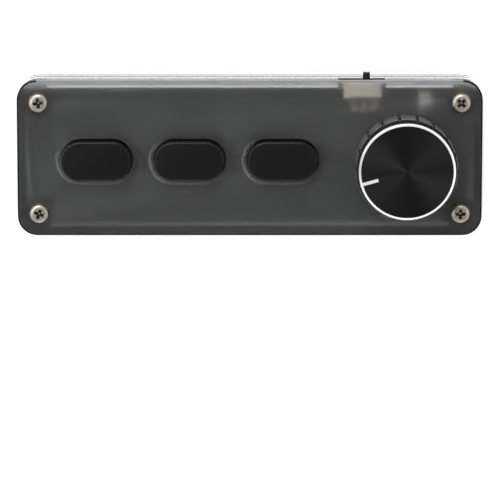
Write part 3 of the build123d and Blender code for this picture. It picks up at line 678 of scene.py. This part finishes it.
# ---- Circuit board -------------------------------------------------------------------
# A 1.6 mm glass-fibre board under black solder mask. The copper tracks stand up under the
# mask as faint ridges, and every pin has a cone of solder on the underside.
laminate, nodes, links, shader = textured(
    "board_laminate", (0.03, 0.031, 0.032), (0.036, 0.037, 0.038), 0.4, 0.1, 0.001
)
tracks_per_metre = 260.0
tracks = nodes.new("ShaderNodeTexBrick")
tracks.inputs["Scale"].default_value = tracks_per_metre
tracks.inputs["Mortar Size"].default_value = 0.03
tracks.inputs["Mortar Smooth"].default_value = 0.3
place = nodes.new("ShaderNodeTexCoord")
links.new(place.outputs["Object"], tracks.inputs["Vector"])
bump(nodes, links, shader, tracks.outputs["Fac"], 0.03)
dress(laminate, "circuit_board")

key_xs = {"left": -39.25, "middle": -15.45, "right": 8.35}
key_y = case_y - 0.3
knob_x = 39.8
knob_y = case_y - 1.5
switch_x = 28.7
two_pins = (-2.5, 2.5)
three_pins = (-2.5, 0.0, 2.5)
pin_places = [(x + step, key_y + 5.0) for x in key_xs.values() for step in two_pins]
pin_places += [(knob_x + step, knob_y - 6.95) for step in three_pins]
pin_places += [(knob_x + step, knob_y + 6.95) for step in two_pins]
pin_places += [(switch_x + step, 10.775) for step in three_pins]
solder = textured("solder", (0.74, 0.74, 0.73), (0.6, 0.6, 0.6), 0.28, 0.15, 0.004, 1.0)[0]
fillet = [(0.12, 5.5), (0.2, 5.75), (0.34, 6.05), (0.75, 6.385)]
cone = turned("solder_joints", 20, fillet)
cone.data.materials.append(solder)
joints = set_out(cone, [at(x, y) for x, y in pin_places])
seat(joints, "case")


# ---- Controller and small parts ------------------------------------------------------
# The controller is a black epoxy chip. The resistors and the crystal by it are tan
# ceramic, all soldered flat against the underside of the board.
epoxy = textured(
    "chip_epoxy", (0.02, 0.02, 0.02), (0.028, 0.028, 0.028), 0.6, 0.08, 0.004
)[0]
ceramic = textured(
    "component_ceramic", (0.35, 0.27, 0.18), (0.25, 0.18, 0.12), 0.5, 0.1, 0.004
)[0]
dress(epoxy, "controller_chip")
dress(ceramic, "board_components")


# ---- Light ---------------------------------------------------------------------------
# A small white moulded housing with a round well full of milky resin, soldered to the
# board. It and its tinned pad show through the top plate as a pale spot.
led_x = 44.6
led_y = case_y + 15.0
led_half_x = 1.72
led_half_y = 1.38
led_white = textured(
    "led_plastic", (0.84, 0.83, 0.77), (0.78, 0.77, 0.7), 0.35, 0.2, 0.002
)[0]
resin, nodes, links, shader = textured(
    "led_resin", (0.80, 0.78, 0.62), (0.86, 0.85, 0.75), 0.15, 0.3, 0.001
)
housing = block(
    "light",
    (led_x - led_half_x, led_y - led_half_y, board_top),
    (led_x + led_half_x, led_y + led_half_y, 9.0),
)
soften(housing, 0.12, 3)
cut(housing, turned("well", 48, [(0.95, 8.7), (1.18, 9.1)], led_x, led_y))
housing.data.materials.append(led_white)
housing.data.materials.append(resin)
paint(housing, 1, lambda at, way: 8.6 < at.z < 8.8 and abs(way.z) > 0.5)
seat(housing, "case", "indicator_led")
pad = block(
    "light_solder",
    (led_x - 2.2, led_y - 3.7, board_top),
    (led_x + 0.9, led_y - 1.5, 8.2),
)
soften(pad, 0.08, 3)
pad.data.materials.append(solder)
seat(pad, "case")


# ---- USB socket ----------------------------------------------------------------------
# A micro-USB socket under the board, with its mouth in the right wall. Its shell is folded
# from tinned steel round a black insulator that carries the thin tongue.
usb_mouth = 59.2
usb_half = 3.75
usb_low = 4.05
usb_length = 5.6
usb_depth = 5.55
usb_skin = 0.25
tinned = textured(
    "tinned_steel", (0.82, 0.78, 0.70), (0.7, 0.66, 0.57), 0.5, 0.25, 0.004, 1.0
)[0]
black, nodes, links, shader = textured(
    "black_plastic", (0.008, 0.008, 0.009), (0.012, 0.012, 0.013), 0.45, 0.09, 0.003
)
shader.inputs["Specular IOR Level"].default_value = 0.3
socket = block(
    "usb_socket_shell",
    (usb_mouth - usb_length, case_y - usb_half, usb_low),
    (usb_mouth, case_y + usb_half, board_low),
)
round_edges(socket, 0.95, 1, lambda at, way: abs(way.x) > 0.9 and at.z < usb_low + near)
round_edges(socket, 0.3, 4, lambda at, way: abs(way.x) > 0.9)
choose(socket, "FACE", lambda at, way: abs(way.x) > 0.9)
bpy.ops.mesh.inset(thickness=usb_skin * MM)
rest_hands()
choose(socket, "FACE", lambda at, way: way.x > 0.9 and abs(at.y - case_y) < 0.2)
bpy.ops.mesh.extrude_region_move(TRANSFORM_OT_translate={"value": (-usb_depth * MM, 0, 0)})
bpy.ops.mesh.select_all(action="SELECT")
bpy.ops.mesh.normals_make_consistent(inside=False)
rest_hands()
socket.data.materials.append(tinned)
seat(socket, "case", "usb_shell")
dress(black, "usb_tongue")


# ---- Slide switch --------------------------------------------------------------------
# A side-acting slide switch soldered at the back edge: a folded tinned shell with its lip
# crimped over a brown phenolic base, and three terminals that lie on the base's shelf.
brown = textured(
    "brown_laminate", (0.16, 0.13, 0.09), (0.12, 0.095, 0.065), 0.6, 0.3, 0.01
)[0]
dull = textured("dull_tin", (0.98, 0.92, 0.77), (0.95, 0.88, 0.71), 0.5, 0.25, 0.004)[0]
shell_back = 18.4
shell = block("slide_switch_shell", (23.9, 14.8, board_top), (33.5, shell_back, 11.7))
round_edges(shell, 0.5, 5, lambda at, way: at.y > shell_back - near and abs(way.y) < 0.5)
cut(shell, block("inside", (24.25, 13.8, 8.35), (33.15, 18.05, 11.35)))
cut(shell, block("slot", (26.36, 17.5, 8.78), (31.04, 19.5, 10.92)))
soften(shell, 0.05)
lips = [
    soften(block("lip", (lip_x, 14.52, 11.4), (lip_x + 1.6, 14.9, 11.68)), 0.08)
    for lip_x in (25.0, 30.8)
]
join(shell, *lips)
shell.data.materials.clear()
shell.data.materials.append(dull)
seat(shell, "case", "switch_shell")
dress(brown, "switch_base")
dress(plated, "switch_terminals")
# Painted shade: the shield is near-black with no reflection, so the back of the switch shows
# as dark shade.
shield_shade, nodes, links, shader = textured(
    "black_painted_shade", (0.002, 0.002, 0.002), (0.004, 0.004, 0.004), 0.9, 0.1, 0.004
)
shader.inputs["Specular IOR Level"].default_value = 0.0
dress(shield_shade, "switch_shield")

half_travel = 1.2
lever_x = switch_x + half_travel
slider_half = 3.13
handle_half = 0.9
slider = block(
    "switch_lever",
    (lever_x - slider_half, 14.95, 8.48),
    (lever_x + slider_half, 17.9, 11.22),
)
soften(slider, 0.15)
handle = block(
    "handle", (lever_x - handle_half, 17.8, 8.91), (lever_x + handle_half, 20.8, 10.79)
)
for groove_x in (-0.45, 0.0, 0.45):
    groove = block(
        "groove",
        (lever_x + groove_x - 0.1, 20.65, 8.0),
        (lever_x + groove_x + 0.1, 21.0, 12.0),
    )
    cut(handle, groove)
soften(handle, 0.07)
join(slider, handle)
slider.data.materials.append(black)
seat(slider, "slide_lever", "slide_lever")


# ---- Key switches --------------------------------------------------------------------
# Three low-profile switches of moulded black plastic, each with a dark acetal stem. A coil
# of bright spring wire stands on the floor of each and pushes its stem up.
acetal = textured(
    "stem_plastic", (0.05, 0.05, 0.055), (0.065, 0.065, 0.07), 0.35, 0.15, 0.002
)[0]
wire = textured(
    "spring_steel", (0.62, 0.62, 0.62), (0.5, 0.5, 0.5), 0.25, 0.05, 0.001, 1.0
)[0]
dress(brass, "contact_leaves")
spring_low = 8.6
spring_high = 15.5
spring_radius = 1.5
spring_turns = 6
spring_steps = 28
wire_radius = 0.16
end_room = 0.17
for side, key_x in key_xs.items():
    dress(black, f"key_base_{side}", f"key_cover_{side}")
    dress(acetal, f"key_stem_{side}")

    rest_hands()
    bpy.ops.mesh.primitive_circle_add(
        vertices=10,
        radius=wire_radius * MM,
        location=(spring_radius * MM, 0, 0),
        rotation=(math.pi / 2, 0, 0),
    )
    coil = named(f"spring_{side}")
    winding = coil.modifiers.new("winding", "SCREW")
    winding.angle = 2 * math.pi
    rise = spring_high - spring_low - 2 * end_room
    winding.screw_offset = rise / spring_turns * MM
    winding.iterations = spring_turns
    winding.steps = spring_steps
    winding.render_steps = spring_steps
    bpy.context.view_layer.objects.active = coil
    bpy.ops.object.modifier_apply(modifier="winding")
    coil.data.transform(at(key_x, key_y, spring_low + end_room))
    choose(coil, "EDGE", lambda at, way: False)
    bpy.ops.mesh.select_non_manifold()
    bpy.ops.mesh.edge_face_add()
    bpy.ops.mesh.select_all(action="SELECT")
    bpy.ops.mesh.normals_make_consistent(inside=False)
    rest_hands()
    coil.data.materials.append(wire)
    seat(coil, "case", f"key_spring_{side}")
    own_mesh(coil)


# ---- Rotary encoder ------------------------------------------------------------------
# A push encoder with a plastic cup, a tinned clip over it, a die-cast threaded bush and a
# turned D shaft. A thin spring-metal dome under its plunger gives the click.
cast = textured("cast_zinc", (0.6, 0.6, 0.6), (0.5, 0.5, 0.5), 0.4, 0.2, 0.006, 1.0)[0]
steel = textured("shaft_metal", (0.7, 0.7, 0.7), (0.6, 0.6, 0.6), 0.25, 0.1, 0.002, 1.0)[0]
dress(tinned, "encoder_clip", "encoder_pins")
dress(black, "encoder_base", "encoder_rotor")
dress(cast, "encoder_bush")
dress(plated, "encoder_washer", "encoder_nut")
dress(nylon, "push_plunger")
dress(steel, "encoder_shaft")

dome_rim = 2.4
dome_low = 8.8
dome_high = 9.55
dome_ball = (dome_rim**2 + (dome_high - dome_low) ** 2) / (2 * (dome_high - dome_low))
dome_skin = 0.12
under = (0.05, 0.5, 0.9, 1.3, 1.6, 1.9, 2.1)
over = (2.39, 2.2, 1.9, 1.6, 1.3, 0.9, 0.5, 0.05)
middle = dome_high - dome_ball
section = [(r, middle + math.sqrt((dome_ball - dome_skin) ** 2 - r * r)) for r in under]
section += [(2.2, dome_low)]
section += [(r, max(dome_low, middle + math.sqrt(dome_ball**2 - r * r))) for r in over]
dome = turned("click_dome", 64, section, knob_x, knob_y)
dome.data.materials.append(wire)
seat(dome, "case", "push_dome")
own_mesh(dome)


# ---- Upper frame ---------------------------------------------------------------------
# A ring of 5 mm acrylic like the lower one, between the board and the top plate. It has an
# ear round each standoff, and its back wall is open for the slide switch.
ear_radius = 4.348
ear_bore = 2.748
upper = slab(
    "clear_frame_upper", 2 * case_x, 2 * case_half, board_top, plate_low - sheet_gap, corner
)
space = frame_space(board_top, plate_low)
drill(space, board_top, plate_low, ear_radius, margin=2 * overcut)
cut(upper, space)
drill(upper, board_top, plate_low, ear_bore)
gap = block(
    "gap", (22.55, 16.0, board_top - overcut), (34.85, 22.0, plate_low + overcut)
)
cut(upper, gap)
soften(upper, 0.02)
finish_frame(upper)
seat(upper, "case", "upper_frame")


# ---- Top plate -----------------------------------------------------------------------
# The top sheet, cut from the same satin smoke-grey acrylic as the base, with pill-shaped
# openings for the keys and a round one for the knob's bush. Beside each key opening, on its
# left and front, the sheet scatters a little more as a faint painted glow of light. The
# straight part of the back edge is painted light grey as painted light from behind, and the
# other cut edges are painted near-black as painted shade.
plate_top = 15.0
opening_length = 18.4
opening_depth = 10.4
opening_shift = 0.15
line_half = 4.0
glow_strength = 0.13
lit_edge_depth = 0.45


def pill(name, x, y, low, high, length, depth):
    """An upright bar with a pill-shaped plan: a round one whose halves are drawn apart."""
    piece = post(name, x, y, low, high, depth / 2, 96)
    pull = (length - depth) / 2 * MM
    choose(piece, "VERT", lambda at, way: at.x > x + 0.001)
    bpy.ops.transform.translate(value=(pull, 0, 0))
    choose(piece, "VERT", lambda at, way: at.x < x - 0.001)
    bpy.ops.transform.translate(value=(-pull, 0, 0))
    rest_hands()
    return piece


top = slab("top_sheet", 2 * case_x, 2 * case_half, plate_low, plate_top, corner)
round_edges(top, 0.4, 3, lambda at, way: at.z > plate_top - near)
drill(top, plate_low, plate_top, screw_hole, 48)
below = plate_low - overcut
above = plate_top + overcut
openings = [
    pill("key_hole", x + opening_shift, key_y, below, above, opening_length, opening_depth)
    for x in key_xs.values()
]
cut(top, *openings, post("knob_hole", knob_x, knob_y, below, above, 3.6, 96))
soften(top, 0.08)

glowing_top, nodes, links, shader = smoke("smoked_top")
flat = nodes.new("ShaderNodeVectorMath")
flat.operation = "MULTIPLY"
flat.inputs[1].default_value = (1.0, 1.0, 0.0)
links.new(nodes["Texture Coordinate"].outputs["Object"], flat.inputs[0])


def past_keys(step_x, step_y, start, end):
    """Goes from 0 to 1 between two distances in millimetres from the middle line of the
    nearest key, with the line moved by a step."""
    nearest = None
    half = (line_half * MM, 0.0, 0.0)
    for key_x in key_xs.values():
        middle = ((key_x + opening_shift + step_x) * MM, (key_y + step_y) * MM, 0.0)
        reach = distance_from_box(nodes, links, flat.outputs["Vector"], middle, half)
        if nearest:
            closer = nodes.new("ShaderNodeMath")
            closer.operation = "MINIMUM"
            links.new(nearest, closer.inputs[0])
            links.new(reach, closer.inputs[1])
            reach = closer.outputs[0]
        nearest = reach
    past = nodes.new("ShaderNodeMapRange")
    past.interpolation_type = "SMOOTHSTEP"
    past.inputs["From Min"].default_value = start * MM
    past.inputs["From Max"].default_value = end * MM
    links.new(nearest, past.inputs["Value"])
    return past.outputs["Result"]


# Painted light: a faint glow beside each key opening, on its left and front, where the sheet
# lets less light through and scatters more.
painted_glow = nodes.new("ShaderNodeMath")
painted_glow.operation = "SUBTRACT"
painted_glow.use_clamp = True
glow_starts = past_keys(0.0, 0.0, 5.7, 6.6)
glow_ends = past_keys(-0.4, -0.3, 6.1, 6.35)
links.new(glow_starts, painted_glow.inputs[0])
links.new(glow_ends, painted_glow.inputs[1])
clearness = nodes.new("ShaderNodeMath")
clearness.operation = "MULTIPLY_ADD"
clearness.inputs[1].default_value = -glow_strength
clearness.inputs[2].default_value = smoke_clear
links.new(painted_glow.outputs[0], clearness.inputs[0])
links.new(clearness.outputs[0], shader.inputs["Transmission Weight"])

# Painted light: the straight part of the back edge goes light grey, as lit from behind.
lit_back_edge = textured(
    "back_edge_painted_light", (0.27, 0.27, 0.27), (0.23, 0.23, 0.23), 0.5, 0.25, 0.002,
    stretch=upright_lines,
)[0]


def on_back_edge(at, way):
    """Picks the straight part of the back edge, and its rounding, but not the corners."""
    behind = at.y > case_y + case_half - lit_edge_depth
    return behind and way.y > 0.1 and abs(at.x) < screw_x


for material in (glowing_top, shaded_cut_edge, lit_back_edge):
    top.data.materials.append(material)
# Painted shade on the top sheet's cut edges and openings.
paint(top, 1, lambda at, way: abs(way.z) < 0.99)
# Painted light on the straight part of the back edge.
paint(top, 2, on_back_edge)
seat(top, "case", "top_plate")


# ---- Top screws ----------------------------------------------------------------------
# The same pan-head screws, shorter, go down through the top plate into the standoffs. Each
# stopped turning where it was tight, so the crosses point in different directions.
high_screw = screw("top_screw", 4.19)
high_screw.data.materials.append(plated)
high_screw.data.materials.append(recess)
# Painted shade in the cross recesses.
paint(high_screw, 1, in_recess)
high_turns = (70, 0, 45, 8)
high_screws = set_out(
    high_screw,
    [at(x, y, plate_top, turn) for (x, y), turn in zip(screw_places, high_turns)],
)
seat(high_screws, "case", "top_screws")


# ---- Key caps ------------------------------------------------------------------------
# Pill-shaped caps moulded from fine matte black plastic with a softened upper edge. Each
# is a shell with a pad that sits on the stem and two prongs that grip it.
keycap, nodes, links, shader = textured(
    "keycap_plastic", (0.003, 0.003, 0.0034), (0.004, 0.004, 0.0044), 0.35, 0.07, 0.002
)
shader.inputs["Specular IOR Level"].default_value = 0.4
cap_low = 16.0
cap_top = 19.0
cap_length = 17.86
cap_depth = 9.86
cap_wall = 1.3
cap_hollow = 1.7
for side, key_x in key_xs.items():
    cap = pill(f"cap_{side}", key_x, key_y, cap_low, cap_top, cap_length, cap_depth)
    round_edges(cap, 0.4, 5, lambda at, way: at.z > cap_top - near)
    choose(cap, "FACE", lambda at, way: way.z < -0.9)
    bpy.ops.mesh.inset(thickness=cap_wall * MM)
    bpy.ops.mesh.extrude_region_move(
        TRANSFORM_OT_translate={"value": (0, 0, cap_hollow * MM)}
    )
    rest_hands()
    round_edges(cap, 0.1, 2, lambda at, way: at.z < cap_low + near)
    pad = block("pad", (key_x - 4.5, key_y - 2.2, 16.3), (key_x + 4.5, key_y + 2.2, 17.72))
    prongs = [
        block(
            "prong",
            (key_x + step - 0.55, key_y - 1.45, 13.7),
            (key_x + step + 0.55, key_y + 1.45, 16.4),
        )
        for step in (-2.85, 2.85)
    ]
    for part in (pad, *prongs):
        soften(part, 0.08)
    join(cap, pad, *prongs)
    cap.data.materials.append(keycap)
    seat(cap, f"key_{side}", f"key_cap_{side}")


# ---- Knob ----------------------------------------------------------------------------
# Turned from aluminium, fluted round the skirt and anodised black, then its upper edge is
# cut back to a bright ring. The face keeps the lathe's fine circles and has an inlaid line.
knob_sides = 360
hollow = [(0.5, 26.8), (9.98, 26.8), (10.0, 26.78), (10.0, 16.15), (10.15, 16.0)]
skirt = [(12.6, 16.0), (12.85, 16.08), (12.97, 16.22), (13.0, 16.4), (13.0, 25.05)]
skirt += [(12.97, 25.22), (12.88, 25.34), (12.72, 25.4)]
neck = [(11.85, 25.4), (11.8, 25.45), (11.8, 26.05), (11.85, 26.1)]
collar = [(12.2, 26.1), (12.28, 26.13), (12.3, 26.2), (12.3, 28.37)]
ring = [(12.27, 28.43), (11.73, 28.97), (11.7, 29.0)]
face = [(11.35, 29.0), (0.5, 29.0)]
outline = hollow + skirt + neck + collar + ring + face
knob = turned("knob_turned", knob_sides, outline, knob_x, knob_y)
flutes = 18
first_flute = 18.2
flute_floor = 12.5
flute_half = 0.4
for number in range(flutes):
    flute = block("flute", (flute_floor, -flute_half, 15.0), (14.0, flute_half, 26.0))
    round_edges(
        flute, 0.25, 3, lambda at, way: at.x < flute_floor + near and abs(way.z) > 0.9
    )
    flute.data.transform(at(knob_x, knob_y, 0.0, first_flute + 360 / flutes * number))
    cut(knob, flute)
line_turn = 195.6
line = block("recess", (7.58, -0.42, 28.68), (11.72, 0.42, 29.5))
line.data.transform(at(knob_x, knob_y, 0.0, line_turn))
cut(knob, line)
soften(knob, 0.04, 2, 50.0)

anodised = textured(
    "black_aluminium", (0.012, 0.012, 0.013), (0.016, 0.016, 0.017), 0.3, 0.08, 0.001, 0.1
)[0]
# Painted highlight: the skirt's outer faces are lighter than the black anodising, so the
# flutes between them read as dark shade.
skirt_highlight = textured(
    "skirt_painted_highlight", (0.11, 0.11, 0.113), (0.13, 0.13, 0.133), 0.45, 0.08, 0.001, 0.3
)[0]
bright = textured(
    "bright_ring", (0.95, 0.95, 0.95), (0.88, 0.88, 0.88), 0.3, 0.2, 0.001, 0.8
)[0]
spun, nodes, links, shader = plain_material("spun_face", (0.034, 0.034, 0.035), 0.5, 1.0)
shader.inputs["Anisotropic"].default_value = 0.9
shader.inputs["Anisotropic Rotation"].default_value = 0.125
around = nodes.new("ShaderNodeTangent")
around.direction_type = "RADIAL"
around.axis = "Z"
links.new(around.outputs["Tangent"], shader.inputs["Tangent"])
place = nodes.new("ShaderNodeTexCoord")
centre = nodes.new("ShaderNodeMapping")
centre.inputs["Location"].default_value = (-knob_x * MM, -knob_y * MM, 0.0)
lathe_rings = 800.0
rings = nodes.new("ShaderNodeTexWave")
rings.wave_type = "RINGS"
rings.rings_direction = "Z"
rings.inputs["Scale"].default_value = lathe_rings
rings.inputs["Distortion"].default_value = 0.0
links.new(place.outputs["Object"], centre.inputs["Vector"])
links.new(centre.outputs["Vector"], rings.inputs["Vector"])
bump(nodes, links, shader, rings.outputs["Fac"], 0.002)
for material in (anodised, bright, spun, skirt_highlight):
    knob.data.materials.append(material)
ring_low = 28.4
face_height = 29.0
skirt_top = 25.4
skirt_inside = 12.9
knob_middle = Vector((knob_x, knob_y))


def on_skirt(at, way):
    """Picks the outside of the fluted skirt, which gets the painted highlight."""
    return at.z < skirt_top - near and (at.xy - knob_middle).length > skirt_inside


paint(knob, 1, lambda at, way: ring_low < at.z < face_height - near and 0.3 < way.z < 0.97)
paint(knob, 2, lambda at, way: at.z > face_height - 2 * near and way.z > 0.97)
# Painted highlight on the skirt's outer faces.
paint(knob, 3, on_skirt)
seat(knob, "knob", "knob_shell")

white = textured("white_inlay", (0.95, 0.95, 0.94), (0.88, 0.88, 0.87), 0.4, 0.1, 0.002)[0]
dress(white, "pointer_line")
dress(black, "knob_core")
